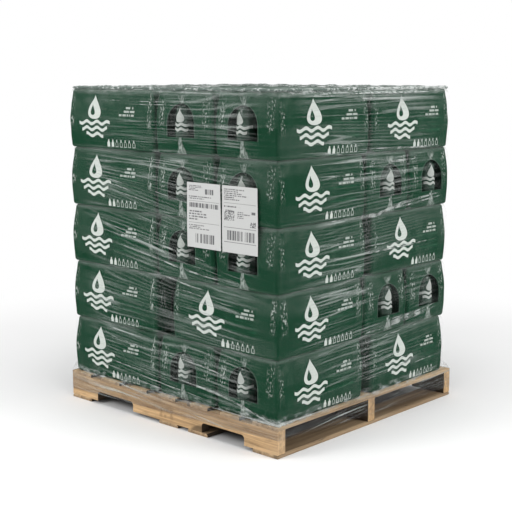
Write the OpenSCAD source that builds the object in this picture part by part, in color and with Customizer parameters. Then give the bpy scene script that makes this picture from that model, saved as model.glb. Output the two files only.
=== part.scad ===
// Pallet load of shrink-film water packs: a wooden stringer pallet, five layers of packs,
// stretch wrap and two shipping labels. Millimetres, +Z up, origin on the floor at the pallet's centre.
// The stringers run along X. The load stands close to the +X and -Y edges of the deck.

/* [Pallet] */
// Length of the pallet, along its stringers
pallet_len = 1067; // [1030:1:1250]
// Width of the pallet, along its deck boards
pallet_w = 1016; // [1000:1:1250]
// Height of a stringer
stringer_h = 82; // [70:1:110]
// Thickness of a stringer
stringer_t = 38; // [25:1:60]
// Thickness of a deck board
board_t = 12; // [8:0.5:20]
// Width of the two end boards of each deck
lead_board_w = 112; // [90:1:130]
// Mean width of an inner board of the top deck
inner_board_w = 95; // [70:1:105]
// Width of a middle board of the bottom deck
low_board_w = 98; // [70:1:110]
// Length of a fork notch along the stringer
notch_len = 203; // [150:1:210]
// Solid foot between a notch and the stringer's end
notch_foot = 150; // [130:1:200]
// Depth of a fork notch
notch_depth = 36; // [20:1:45]
// Radius of a notch's upper corners
notch_r = 13; // [5:1:18]
// Bevel along the top edges of a bottom board
board_bevel = 5; // [1:0.5:7]

/* [Packs] */
// Long side of a pack at its bulge
pack_len = 464; // [440:1:480]
// Short side of a pack at its bulge
pack_w = 256; // [248:1:262]
// Height of a pack
pack_h = 217; // [200:1:240]
// Layers of packs
layers = 5; // [5]
// How far the film of a side swells out at mid height
pack_bulge = 9; // [4:0.5:14]
// Rounding of the upper and lower edges along a pack's long sides
pack_edge_r = 12; // [8:1:13]
// Rounding of the upper and lower edges at a pack's ends
pack_end_r = 17; // [15:1:22]
// Rounding of a pack's upright corners
pack_corner_r = 45; // [40:1:60]
// Thickness of the film around an end window
film_wall = 2; // [1:0.5:4]
// Width of the arched end window
window_w = 134; // [90:1:140]
// Height of the arched end window
window_h = 112; // [80:1:125]
// Height of the window's sill above the pack's foot
window_sill = 60; // [40:1:70]

/* [Load] */
// Distance of the load from the deck's +X and -Y edges
near_margin = 10; // [6:1:25]
// Gap between packs along the pallet's length
gap_len = 24; // [10:1:30]
// Gap between packs along the pallet's width
gap_w = 2; // [1:0.5:8]
// Gap between two packs laid end to end
gap_pair = 44; // [30:1:60]

/* [Bottles] */
// Greatest diameter of a bottle
bottle_d = 72; // [60:0.5:76]
// Diameter of the upper body, under the shoulder
bottle_upper_d = 62; // [50:0.5:66]
// Height of a bottle without its cap
bottle_h = 204; // [185:1:208]
// Height of the bottle's widest, lower part
bottle_low_h = 62; // [40:1:80]
// Height at which the round shoulder starts
shoulder_z = 142; // [120:1:150]
// Rounding of a bottle's foot
bottle_foot_r = 9; // [4:0.5:14]
// Diameter of the neck
neck_d = 26; // [22:0.5:30]
// Diameter of the support ring under the cap
ring_d = 33; // [31:0.5:36]
// Thickness of the support ring
ring_t = 2.5; // [1.5:0.5:4]
// Outside diameter of a cap
cap_d = 30; // [28:0.5:34]
// Height of a cap
cap_h = 16; // [12:0.5:18]
// Thickness of a cap's top
cap_top_t = 2; // [1:0.5:3]
// Play between two parts that fit into each other
play = 0.3; // [0.2:0.05:0.5]

/* [Wrap and labels] */
// Thickness of the stretch wrap, all its turns together
wrap_t = 0.6; // [0.3:0.1:1.5]
// Play between the wrap and what it holds
wrap_play = 0.5; // [0.3:0.1:1]
// Height of the wrap's lower edge above the floor
wrap_foot = 50; // [40:1:75]
// Width of the wrap folded over the top
wrap_rim = 80; // [40:1:120]
// Dip of the wrap between two layers
wrap_dip = 10; // [8:0.5:11]
// Rounding of the wrap's upright corners
wrap_corner_r = 28; // [15:1:30]
// Width of a shipping label
label_w = 160; // [120:1:165]
// Height of a shipping label
label_h = 222; // [180:1:240]
// Thickness of a shipping label
label_t = 0.4; // [0.2:0.1:0.6]
// Gap between the two labels
label_gap = 7; // [3:1:12]
// Distance of the labels from the load's +X corner
label_inset = 82; // [60:1:110]
// Height of the labels' lower edge above the floor
label_z = 662; // [640:1:680]

/* [Hidden] */
$fn = 48;
// How far a cut runs past the face it opens
overrun = 1;
half = 1 / 2;
deck_z = stringer_h + 2 * board_t;
load_h = layers * pack_h;
load_top = deck_z + load_h;
near_x = pallet_len / 2 - near_margin;
near_y = near_margin - pallet_w / 2;
// Packs that the deck carries: side by side along X, side by side along Y, and end to end along Y
cols = max(1, floor((pallet_len - near_margin - pack_len) / (pack_w + gap_len)));
rows = max(1, floor((pallet_w - near_margin - pack_len) / (pack_w + gap_w)));
ends = max(1, floor((pallet_w - near_margin + gap_pair) / (pack_len + gap_pair)));
pair_w = ends * (pack_len + gap_pair) - gap_pair;
column = floor(pair_w / pack_w);
near_pair_len = cols * (pack_w + gap_len) - gap_len;
load_len = pack_len + cols * (pack_w + gap_len);
load_w = max(pair_w, pack_len + rows * (pack_w + gap_w));
far_x = near_x - load_len;
far_y = near_y + load_w;

// Widths of the inner top boards as shares of their mean, as sawn
board_w_shares = [1.10, 0.94, 0.96, 1.06, 0.94];
inner_boards = len(board_w_shares);
function sum_to(list, n) = n <= 0 ? 0 : list[n - 1] + sum_to(list, n - 1);
inner_sum_w = inner_board_w * sum_to(board_w_shares, inner_boards);
top_gap = (pallet_len - 2 * lead_board_w - inner_sum_w) / (inner_boards + 1);
// Middle lines of the two inner bottom boards as shares of the pallet's length
low_board_shares = [0.01, 0.15];

// Film of a side seen from its end: two flat arcs, with rounded edges that run into them
bulge_r = (pack_h * pack_h / 4 + pack_bulge * pack_bulge) / (2 * pack_bulge);

// Room that the bellied film leaves in front of a bottle's foot
bottle_inset = pack_bulge + film_wall + play;
chamber_w = window_w + 2 * film_wall;
chamber_deep = bottle_inset + bottle_d + play;

// Rings of the wrap along one pack's height: shares of the height, of the dip and of the corner's radius
ring_shares = [
  [0, 1, 0.35], [0.1, 0.375, 0.6], [0.3, 0.075, 1], [0.5, 0, 1], [0.7, 0.075, 1], [0.9, 0.375, 0.6]
];
// Rings over the top edge: shares of a film's bulge and of the corner's radius
shoulder_shares = [0.88, 0.45];
brink_shares = [1.66, 0.2];
corner_steps = 6;
// Share of a pack's height over which the wrap runs from the deck's edge to the load
deck_slope_share = 0.2;

// Stringer: a plank on edge with two round-cornered fork notches in its foot
module notch_outline() {
  translate([notch_r, -overrun]) square([notch_len - 2 * notch_r, notch_depth + overrun]);
  translate([0, -overrun]) square([notch_len, notch_depth - notch_r + overrun]);
  for (x = [notch_r, notch_len - notch_r])
    translate([x, notch_depth - notch_r]) circle(r = notch_r);
}

module stringer(side) {
  color("BurlyWood")
    translate([-pallet_len / 2, side * (pallet_w - stringer_t) / 2 + stringer_t / 2, board_t])
      rotate([90, 0, 0])
        linear_extrude(stringer_t)
          difference() {
            square([pallet_len, stringer_h]);
            translate([notch_foot, 0]) notch_outline();
            translate([pallet_len - notch_foot - notch_len, 0]) notch_outline();
          }
}

// Top deck board, numbered from the -X end
function top_w(i) = i == 0 || i == inner_boards + 1 ? lead_board_w : inner_board_w * board_w_shares[i - 1];
function top_x(i) = i == 0 ? 0
  : lead_board_w + inner_board_w * sum_to(board_w_shares, i - 1) + i * top_gap;

module top_board(i) {
  color("Wheat")
    translate([top_x(i) - pallet_len / 2, -pallet_w / 2, board_t + stringer_h])
      cube([top_w(i), pallet_w, board_t]);
}

// Bottom board with bevelled top edges, so that a truck's wheels climb over it
function low_w(i) = i == 0 || i == 3 ? lead_board_w : low_board_w;
function low_x(i) = i == 0 ? -pallet_len / 2
  : i == 3 ? pallet_len / 2 - lead_board_w
  : pallet_len * low_board_shares[i - 1] - low_board_w / 2;

module bottom_board(i) {
  w = low_w(i);
  color("BurlyWood")
    translate([low_x(i), pallet_w / 2, 0])
      rotate([90, 0, 0])
        linear_extrude(pallet_w)
          polygon([
            [0, 0], [w, 0], [w, board_t - board_bevel], [w - board_bevel, board_t],
            [board_bevel, board_t], [0, board_t - board_bevel]
          ]);
}

// Upright outline of a pack's film, wide at mid height
module belly_outline(w, h, r) {
  mid = h / 2;
  edge_x = w / 2 - bulge_r + sqrt((bulge_r - r) * (bulge_r - r) - (mid - r) * (mid - r));
  run_z = (mid - r) * bulge_r / (bulge_r - r);
  translate([-edge_x, 0]) square([2 * edge_x, h]);
  for (x = [-edge_x, edge_x], z = [r, h - r])
    translate([x, z]) circle(r = r);
  intersection() {
    translate([w / 2 - bulge_r, mid]) circle(r = bulge_r);
    translate([bulge_r - w / 2, mid]) circle(r = bulge_r);
    translate([-w / 2, mid - run_z]) square([w, 2 * run_z]);
  }
}

module plan_outline(l, w, r) {
  translate([r - l / 2, -w / 2]) square([l - 2 * r, w]);
  translate([-l / 2, r - w / 2]) square([l, w - 2 * r]);
  for (x = [r - l / 2, l / 2 - r], y = [r - w / 2, w / 2 - r])
    translate([x, y]) circle(r = r);
}

// Bellied block with rounded corners: the plan cuts only the upright corners
module belly(l, w) {
  intersection() {
    translate([0, 0, -overrun])
      linear_extrude(pack_h + 2 * overrun)
        plan_outline(l + overrun, w + overrun, pack_corner_r);
    translate([0, w / 2 + overrun, 0])
      rotate([90, 0, 0])
        linear_extrude(w + 2 * overrun)
          belly_outline(l, pack_h, pack_end_r);
    translate([-l / 2 - overrun, 0, 0])
      rotate([90, 0, 90])
        linear_extrude(l + 2 * overrun)
          belly_outline(w, pack_h, pack_edge_r);
  }
}

// Arched window, seen from the pack's end, sill at zero
module arch_outline() {
  r = window_w / 2;
  translate([-r, 0]) square([window_w, window_h - r]);
  intersection() {
    translate([0, window_h - r]) circle(r = r);
    translate([-r, 0]) square([window_w, window_h]);
  }
}

// Hollow behind the window of the +X end, as deep as the film is thin
module chamber() {
  translate([0, chamber_w / 2, film_wall])
    rotate([90, 0, 0])
      linear_extrude(chamber_w)
        intersection() {
          belly_outline(pack_len - 2 * film_wall, pack_h - 2 * film_wall, pack_end_r);
          translate([pack_len / 2 - chamber_deep, 0]) square([chamber_deep, pack_h]);
        }
}

// One pack along X: film and hidden bottles in one block, with a hollow behind each end window
module pack() {
  difference() {
    belly(pack_len, pack_w);
    for (turn = [0, 180])
      rotate([0, 0, turn]) {
        chamber();
        translate([pack_len / 2 - bottle_inset - bottle_d / 2, 0, window_sill])
          rotate([90, 0, 90])
            linear_extrude(bottle_d)
              arch_outline();
      }
  }
}

// Bottle: wide foot, tapered body, round shoulder, neck and support ring
module bottle() {
  rotate_extrude()
    intersection() {
      square([bottle_d, bottle_h]);
      union() {
        translate([0, 0]) square([bottle_d / 2 - bottle_foot_r, bottle_low_h]);
        translate([0, bottle_foot_r]) square([bottle_d / 2, bottle_low_h - bottle_foot_r]);
        translate([bottle_d / 2 - bottle_foot_r, bottle_foot_r]) circle(r = bottle_foot_r);
        polygon([
          [0, bottle_low_h], [bottle_d / 2, bottle_low_h],
          [bottle_upper_d / 2, shoulder_z], [0, shoulder_z]
        ]);
        translate([0, shoulder_z]) circle(d = bottle_upper_d);
        translate([0, shoulder_z]) square([neck_d / 2, bottle_h - shoulder_z]);
        translate([0, bottle_h + cap_top_t - cap_h - play - ring_t]) square([ring_d / 2, ring_t]);
      }
    }
}

module cap() {
  difference() {
    translate([0, 0, bottle_h + cap_top_t - cap_h]) cylinder(d = cap_d, h = cap_h);
    translate([0, 0, bottle_h + cap_top_t - cap_h - overrun])
      cylinder(d = neck_d + 2 * play, h = cap_h - cap_top_t + overrun);
  }
}

// Place of the bottle behind each end window, in the middle of the pack's width
module at_windows() {
  for (turn = [0, 180])
    rotate([0, 0, turn])
      translate([pack_len / 2 - bottle_inset - bottle_d / 2, 0, film_wall])
        children();
}

// Layers: [x, y, turn]. Two near packs show their ends at -Y in each of them
turned = 90;
along = 0;
near_pair = [for (i = [0:cols - 1])
  [near_x - pack_w / 2 - i * (pack_w + gap_len), near_y + pack_len / 2, turned]];
far_column_x = far_x + pack_len / 2;
column_pitch = (pair_w - pack_w) / max(1, column - 1);

// Two rows of two turned packs, and a column of three beside them
row_layer = concat(
  [for (j = [0:ends - 1], p = near_pair) [p[0], p[1] + j * (pack_len + gap_pair), turned]],
  [for (i = [0:column - 1]) [far_column_x, near_y + pack_w / 2 + i * column_pitch, along]]
);

// Four pairs around a small shaft, each pair turned against the next
wheel_sides = concat(
  [for (i = [0:rows - 1]) [far_column_x, near_y + pack_w / 2 + i * (pack_w + gap_w), along]],
  [for (i = [0:rows - 1]) [near_x - pack_len / 2, far_y - pack_w / 2 - i * (pack_w + gap_w), along]],
  [for (i = [0:cols - 1]) [far_x + pack_w / 2 + i * (pack_w + gap_len), far_y - pack_len / 2, turned]]
);
wheel_layer = concat(near_pair, wheel_sides);

// The second layer has one closed square pack in place of the near pair
function layer_packs(n) = n == 2 ? wheel_sides : n == 4 ? wheel_layer : row_layer;

module at_layer(n) {
  for (p = layer_packs(n))
    translate([p[0], p[1], deck_z + (n - 1) * pack_h])
      rotate([0, 0, p[2]])
        children();
}

module packs_layer(n) {
  color("DarkGreen") {
    at_layer(n) pack();
    if (n == 2) {
      square_len = min(pack_len, near_pair_len);
      translate([near_x - square_len / 2, near_y + pack_len / 2, deck_z + (n - 1) * pack_h])
        belly(square_len, pack_len);
    }
  }
}

module bottles_layer(n) {
  color("SeaGreen")
    at_layer(n)
      at_windows() bottle();
}

module caps_layer(n) {
  color("White")
    at_layer(n)
      at_windows() cap();
}

// One ring of the wrap: [x low, x high, y low, y high, z, corner radius]
function load_ring(inset, z, share) =
  [far_x + inset, near_x - inset, near_y + inset, far_y - inset, z, wrap_corner_r * share];
function deck_ring(grow, z) = [
  -pallet_len / 2 - grow, pallet_len / 2 + grow, -pallet_w / 2 - grow, pallet_w / 2 + grow,
  z, grow
];
// At the deck the wrap clears whichever stands out further on each side
function brim_ring(grow) = [
  min(-pallet_len / 2, far_x) - grow, max(pallet_len / 2, near_x) + grow,
  min(-pallet_w / 2, near_y) - grow, max(pallet_w / 2, far_y) + grow, deck_z, grow
];

// Side of the wrap from its foot to its rim, at a distance from what it holds
function wrap_side(off) = concat(
  [deck_ring(off, wrap_foot), brim_ring(off)],
  [for (n = [0:layers - 1], s = ring_shares)
    if (n > 0 || s[0] > deck_slope_share)
      load_ring(s[1] * wrap_dip - off, deck_z + (n + s[0]) * pack_h, s[2])],
  [
    load_ring(shoulder_shares[0] * pack_bulge - off, load_top - pack_edge_r * half, shoulder_shares[1]),
    load_ring(brink_shares[0] * pack_bulge - off, load_top + off, brink_shares[1]),
    load_ring(wrap_rim, load_top + off, brink_shares[1])
  ]
);

function ring_points(g) = [
  for (q = [0:3], k = [0:corner_steps])
    let (a = 90 * (q + k / corner_steps))
    [
      (q == 0 || q == 3 ? g[1] - g[5] : g[0] + g[5]) + g[5] * cos(a),
      (q < 2 ? g[3] - g[5] : g[2] + g[5]) + g[5] * sin(a),
      g[4]
    ]
];

module stretch_wrap() {
  outside = wrap_side(wrap_play + wrap_t);
  inside = wrap_side(wrap_play);
  count = len(outside);
  rings = concat(outside, [for (i = [count - 1:-1:0]) inside[i]]);
  total = len(rings);
  n = 4 * (corner_steps + 1);
  points = [for (g = rings) each ring_points(g)];
  faces = [
    for (i = [0:total - 1], j = [0:n - 1])
      let (a = i * n + j, b = i * n + (j + 1) % n)
      let (up = (i + 1) % total * n, c = up + j, d = up + (j + 1) % n)
      each [[a, d, b], [a, c, d]]
  ];
  color("WhiteSmoke", 0.3)
    polyhedron(points = points, faces = faces);
}

// Flat paper label on the wrap of the -Y face
module shipping_label(i) {
  color("White")
    translate([
      near_x - label_inset - label_w - i * (label_w + label_gap),
      near_y - 2 * wrap_play - wrap_t - label_t, label_z
    ])
      cube([label_w, label_t, label_h]);
}

stringer(-1);  // stringer_near
stringer(0);  // stringer_middle
stringer(1);  // stringer_far
for (i = [1:inner_boards + 2])
  top_board(i - 1);
for (i = [1:4])
  bottom_board(i - 1);
for (i = [1:layers]) {
  packs_layer(i);
  bottles_layer(i);
  caps_layer(i);
}
stretch_wrap();
shipping_label(1);  // shipping_label_left
shipping_label(0);  // shipping_label_right
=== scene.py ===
# %% [markdown]
# # A wrapped pallet of bottled water
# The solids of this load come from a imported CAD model: a stringer pallet, layers of shrink-film packs,
# stretch wrap and two shipping labels. This lesson dresses them. Each step says what the piece is on
# the real thing, how it could be made in Blender, and why it is made this way here.

import math
import random
from functools import partialmethod, reduce

import bmesh
import bpy
import numpy as np
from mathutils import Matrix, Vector


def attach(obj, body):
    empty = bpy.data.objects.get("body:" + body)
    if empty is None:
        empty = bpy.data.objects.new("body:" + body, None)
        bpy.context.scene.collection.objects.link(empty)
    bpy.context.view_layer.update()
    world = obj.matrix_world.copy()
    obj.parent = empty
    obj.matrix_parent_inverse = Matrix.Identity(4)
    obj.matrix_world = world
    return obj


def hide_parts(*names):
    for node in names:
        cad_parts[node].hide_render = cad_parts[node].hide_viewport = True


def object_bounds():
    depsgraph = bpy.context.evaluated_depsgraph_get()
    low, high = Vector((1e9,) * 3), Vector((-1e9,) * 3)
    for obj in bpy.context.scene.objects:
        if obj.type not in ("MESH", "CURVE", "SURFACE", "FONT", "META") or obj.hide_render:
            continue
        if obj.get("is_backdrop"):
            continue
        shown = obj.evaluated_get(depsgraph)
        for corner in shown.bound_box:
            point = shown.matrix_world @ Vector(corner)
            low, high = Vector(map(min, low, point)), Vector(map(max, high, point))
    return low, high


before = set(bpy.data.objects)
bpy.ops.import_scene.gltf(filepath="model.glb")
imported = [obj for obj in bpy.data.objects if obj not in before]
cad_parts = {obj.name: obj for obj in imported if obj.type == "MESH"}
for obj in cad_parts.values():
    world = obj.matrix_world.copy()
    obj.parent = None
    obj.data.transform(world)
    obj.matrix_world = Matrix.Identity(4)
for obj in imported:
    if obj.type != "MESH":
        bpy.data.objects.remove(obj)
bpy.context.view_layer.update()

# %% [markdown]
# ## Shader maths
# A print or a grain is a formula over the surface. Placing Math nodes by hand hides the formula, so one
# small class wraps a socket and lets Python's operators add the nodes. `Finish` starts a material, and
# its `node` method makes any other node from its type, its settings and its sockets.

# %% A socket that can be calculated with
def feed(socket, value):
    """Links a wire to a socket, or sets the socket's own value."""
    if isinstance(value, Wire):
        socket.id_data.links.new(value.socket, socket)
    elif value is not None:
        socket.default_value = value


class Wire:
    """An output socket. Arithmetic on it adds Math nodes to its tree."""

    def __init__(self, socket):
        self.socket = socket

    def math(self, operation, *others, flip=False, clamp=False):
        node = self.socket.id_data.nodes.new("ShaderNodeMath")
        node.operation = operation
        node.use_clamp = clamp
        values = (*others, self) if flip else (self, *others)
        for socket, value in zip(node.inputs, values):
            feed(socket, value)
        return Wire(node.outputs[0])

    __add__ = __radd__ = partialmethod(math, "ADD")
    __sub__ = partialmethod(math, "SUBTRACT")
    __rsub__ = partialmethod(math, "SUBTRACT", flip=True)
    __mul__ = __rmul__ = partialmethod(math, "MULTIPLY")
    __truediv__ = partialmethod(math, "DIVIDE")
    __neg__ = partialmethod(math, "MULTIPLY", -1.0)
    __abs__ = partialmethod(math, "ABSOLUTE")
    __lt__ = partialmethod(math, "LESS_THAN")
    __gt__ = partialmethod(math, "GREATER_THAN")
    sin = partialmethod(math, "SINE")
    sign = partialmethod(math, "SIGN")
    floor = partialmethod(math, "FLOOR")
    fract = partialmethod(math, "FRACT")
    sqrt = partialmethod(math, "SQRT")
    power = partialmethod(math, "POWER")
    least = partialmethod(math, "MINIMUM")
    most = partialmethod(math, "MAXIMUM")
    clip = partialmethod(math, "ADD", 0.0, clamp=True)

    def soft(self, low, high):
        """0 below low, 1 above high, smooth between."""
        t = ((self - low) / (high - low)).clip()
        return t * t * (3.0 - 2.0 * t)

    def within(self, low, high):
        return (self > low) * (self < high)


class Finish:
    """A material in the making."""

    def __init__(self, name):
        self.mat = bpy.data.materials.new(name)
        self.mat.use_nodes = True
        self.tree = self.mat.node_tree
        self.tree.nodes.clear()

    def node(self, kind, settings=None, sockets=None, out=0):
        node = self.tree.nodes.new("ShaderNode" + kind)
        for key, value in (settings or {}).items():
            setattr(node, key, value)
        for key, value in (sockets or {}).items():
            feed(node.inputs[key], value)
        return Wire(node.outputs[out])

    def mix(self, share, a, b):
        """Colour a where share is 0 and b where it is 1."""
        a, b = ((*c, 1.0) if isinstance(c, tuple) else c for c in (a, b))
        return self.node("Mix", {"data_type": "RGBA"}, {0: share, 6: a, 7: b}, out=2)

    def split(self, vector):
        node = self.tree.nodes.new("ShaderNodeSeparateXYZ")
        feed(node.inputs[0], vector)
        return [Wire(o) for o in node.outputs]

    def join(self, x, y, z):
        return self.node("CombineXYZ", None, {0: x, 1: y, 2: z})

    def noise(self, vector, scale, detail=2.0, rough=0.5):
        sockets = {"Vector": vector, "Scale": scale, "Detail": detail, "Roughness": rough}
        return self.node("TexNoise", None, sockets)

    def field(self, x, y, z, detail=2.0, rough=0.5):
        """Noise over three coordinates that are already scaled."""
        return self.noise(self.join(x, y, z), 1.0, detail, rough)

    def hash(self, vector):
        """A random number that stays the same for the same vector."""
        return self.node("TexWhiteNoise", {"noise_dimensions": "3D"}, {"Vector": vector})

    def bump(self, height, strength, distance):
        return self.node("Bump", None, {"Height": height, "Strength": strength, "Distance": distance})

    def surface(self, sockets):
        self.show(self.node("BsdfPrincipled", None, sockets))

    def show(self, shader):
        feed(self.tree.nodes.new("ShaderNodeOutputMaterial").inputs["Surface"], shader)


print("shader maths ready")

# %% [markdown]
# ## Camera, light and floor
# The camera was fitted to the photograph: the pallet's corners and the five layers give its place and
# focal length. The light is a plain soft studio: one broad lamp for each seen side and one above.

# %% Camera
MM = 0.001
SENSOR_MM = 36.0
PHOTO_PIXELS = 512
FOCAL_PIXELS = 1112.4
TURN, RISE = math.radians(42.661), math.radians(9.447)
DISTANCE, AIM_SIDE, AIM_UP = 4.276, -0.0224, 0.5533


def link(obj):
    bpy.context.scene.collection.objects.link(obj)


right_way = Vector((math.cos(TURN), math.sin(TURN), 0.0))
back_way = Vector((math.sin(TURN) * math.cos(RISE), -math.cos(TURN) * math.cos(RISE), math.sin(RISE)))
camera = bpy.data.objects.new("camera", bpy.data.cameras.new("camera"))
camera.data.sensor_width = SENSOR_MM
camera.data.lens = SENSOR_MM * FOCAL_PIXELS / PHOTO_PIXELS
camera.location = right_way * AIM_SIDE + Vector((0, 0, AIM_UP)) + back_way * DISTANCE
camera.rotation_euler = (-back_way).to_track_quat("-Z", "Y").to_euler()
camera.data.clip_end = 100.0
link(camera)
bpy.context.scene.camera = camera
bpy.context.scene.view_settings.view_transform = "Standard"
print("camera at", [round(v, 3) for v in camera.location])


# %% Lamps, world and floor
def lamp(name, place, aim, size, power):
    data = bpy.data.lights.new(name, "AREA")
    data.shape, data.size, data.energy = "DISK", size, power
    obj = bpy.data.objects.new(name, data)
    obj.location = place
    obj.rotation_euler = (Vector(aim) - Vector(place)).to_track_quat("-Z", "Y").to_euler()
    link(obj)


lamp("lamp_left", (-1.6, -4.2, 2.6), aim=(0, 0, 0.6), size=2.2, power=95)
lamp("lamp_right", (4.4, 1.2, 2.6), aim=(0, 0, 0.6), size=2.2, power=92)
lamp("lamp_above", (0.6, -0.6, 4.6), aim=(0, 0, 0.8), size=2.6, power=95)

world = bpy.data.worlds.new("studio")
world.use_nodes = True
bpy.context.scene.world = world
sky = world.node_tree
sky.nodes.clear()
path = sky.nodes.new("ShaderNodeLightPath")
seen = Wire(path.outputs["Is Camera Ray"]).most(Wire(path.outputs["Is Glossy Ray"]))
seen = seen.most(Wire(path.outputs["Is Transmission Ray"]))
background = sky.nodes.new("ShaderNodeBackground")
background.inputs["Color"].default_value = (1, 1, 1, 1)
feed(background.inputs["Strength"], 0.45 + 0.55 * seen)
sky.links.new(background.outputs[0], sky.nodes.new("ShaderNodeOutputWorld").inputs["Surface"])

# The floor fades to plain white far from the load, and lies in deep shade under the pallet.
f = Finish("floor")
floor_place = f.node("TexCoord", out=3)
floor_x, floor_y, _ = f.split(floor_place)
floor_far = (floor_x * floor_x + floor_y * floor_y).sqrt().soft(1.0, 2.4)
floor_under = (1.0 - abs(floor_x).soft(0.42, 0.52)) * (1.0 - abs(floor_y).soft(0.40, 0.49))
floor_seen = f.node("LightPath")
floor_tone = f.noise(floor_place, 0.8)
floor_pale = f.mix(floor_tone, (0.90, 0.90, 0.90), (0.93, 0.93, 0.93))
floor_near = f.node("BsdfPrincipled", None, {
    "Base Color": f.mix(floor_under * 0.9, floor_pale, (0.06, 0.05, 0.045)),
    "Roughness": 0.9,
})
floor_white = f.node("Emission", None, {"Color": (1, 1, 1, 1), "Strength": 1.0})
floor_mix = {0: floor_far * floor_seen, 1: floor_near, 2: floor_white}
f.show(f.node("MixShader", None, floor_mix))
bpy.ops.mesh.primitive_plane_add(size=60.0, location=(0, 0, -0.0005))
floor = bpy.context.object
floor.name = "floor"
floor.data.materials.append(f.mat)
floor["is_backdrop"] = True
print("studio ready")

# %% [markdown]
# ## Pallet wood
# Rough-sawn softwood, dry and a little weathered. An image of wood would repeat from plank to plank, so
# the grain is noise pulled long along each one. The CAD planks are kept, because a plank is a plank. A
# small bevel takes the knife edge off them.

# %% Wood finish
def wood(name, grain_axis, pale, dark):
    f = Finish(name)
    x, y, z = f.split(f.node("TexCoord", out=3))
    nx, ny, nz = f.split(f.node("NewGeometry", out=1))
    lot = f.node("ObjectInfo", out=5) * 37.0
    along, across = (x, y) if grain_axis == "X" else (y, x)
    wander = f.field(along * 1.3 + lot, across * 22.0, z * 22.0, 3.0)
    rings = f.field(along * 2.0 + lot, across * 60.0 + wander * 3.0, z * 60.0, 4.0, 0.6)
    fibre = f.field(along * 8.0, across * 420.0, z * 420.0 + lot, 2.0, 0.6)
    patch = f.field(along * 4.0 + lot, across * 9.0, z * 9.0, 3.0)
    tone = (0.30 + wander * 0.50 + (rings - 0.5) * 2.3 + (fibre - 0.5) * 1.2).clip()
    colour = f.mix(tone, dark, pale)
    colour = f.mix(patch.soft(0.50, 0.70) * 0.5, colour, tuple(0.55 * p + 0.08 for p in pale))
    knot = f.field(along * 5.0 + lot, across * 14.0, z * 14.0 + 3.0, 0.0).soft(0.74, 0.80)
    # Dirt in knots and blotches, darker along the foot and on the bottom boards' tops, and painted shade on
    # the faces that look down or into the pallet
    blot = f.field(along * 14.0 + lot, across * 40.0, z * 40.0, 3.0, 0.6).soft(0.54, 0.70)
    foot = 1.0 - z.soft(3 * MM, 12 * MM)
    under = (-nz).soft(0.3, 0.7)
    inward_shade = (abs(ny) > 0.5) * (abs(y) < 0.49) + (abs(nx) > 0.5) * (abs(x) < 0.52)
    lower_top = (nz > 0.5) * (z < 40 * MM)
    dirt_and_shade = (knot * 0.7).most(blot * (0.22 + lower_top * 0.5)).most(foot * 0.35)
    dirt_and_shade = dirt_and_shade.most(under * 0.98).most(inward_shade.least(1.0) * 0.95).most(lower_top * 0.36)
    colour = f.mix(dirt_and_shade, colour, tuple(0.07 * d for d in dark))
    # A burnt mark of plain blocks on the middle foot of the near stringer
    block = f.join((x * 95.0).floor(), (z * 80.0).floor(), 0.0)
    mark = (y < -0.5) * x.within(-36 * MM, 34 * MM) * z.within(25 * MM, 62 * MM) * (f.hash(block) > 0.45)
    colour = f.mix(mark * 0.5, colour, dark)
    f.surface({
        "Base Color": colour,
        "Roughness": 0.72 + fibre * 0.2,
        "Normal": f.bump(rings * 0.5 + fibre * 0.5, 0.5, 0.0012),
    })
    return f.mat


WORN_EDGE = 1.6 * MM
stringer_wood = wood("stringer_wood", "X", (0.75, 0.50, 0.260), (0.27, 0.160, 0.075))
board_wood = wood("board_wood", "Y", (0.64, 0.45, 0.260), (0.22, 0.140, 0.075))
for name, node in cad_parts.items():
    if name.startswith(("stringer", "top_board", "bottom_board")):
        node.data.materials.clear()
        node.data.materials.append(stringer_wood if name.startswith("stringer") else board_wood)
        bevel = node.modifiers.new("worn_edge", "BEVEL")
        bevel.width, bevel.segments, bevel.limit_method = WORN_EDGE, 2, "ANGLE"
print("wood on the pallet")

# %% [markdown]
# ## Packs
# A pack is a tube of printed film, shrunk round its bottles. It bellies at mid height and is drawn in at
# the edges, and each end is left with an arched window. Sculpting each pack would take days; here one
# function makes the film as rings from the middle of the foot to the middle of the top, and a few
# variants are shared by all packs.

# %% Sizes of the load
PACK_LEN, PACK_W, PACK_H = 464 * MM, 256 * MM, 217 * MM
LONG_LEN, SQUARE_LEN, SLACK_W, CREVICE = 474 * MM, 500 * MM, 286 * MM, 4 * MM
BULGE_UP, BULGE_DOWN, WIDEST_SHARE = 13 * MM, 5 * MM, 0.46
UPPER_CURVE, LOWER_CURVE = 1.6, 2.0
EDGE_R, CORNER_R, TOP_SAG = 9 * MM, 17 * MM, 7 * MM
FILM_CELL = 10.5 * MM
DECK_Z = 106 * MM
NEAR_X, NEAR_Y = 523.5 * MM, -498 * MM
GAP_W, GAP_PAIR = 2 * MM, 44 * MM
PITCH_X = SLACK_W + CREVICE
LOAD_LEN = LONG_LEN + 2 * PITCH_X
LOAD_W = PACK_LEN + 2 * PACK_W + 2 * GAP_W
FAR_X, FAR_Y = NEAR_X - LOAD_LEN, NEAR_Y + LOAD_W
BOTTLE_D = 72 * MM
ROW_PITCH = BOTTLE_D * math.sqrt(3) / 2
WINDOW_W, WINDOW_H, WINDOW_SILL, WINDOW_ASIDE = 134 * MM, 114 * MM, 58 * MM, 14 * MM
ROOM_WALL, ROOM_DEEP, ROOM_HALF = 6 * MM, 125 * MM, 70 * MM
ROOM_LOW, ROOM_HIGH = 4 * MM, PACK_H - 10 * MM
LAYERS = 5


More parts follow.
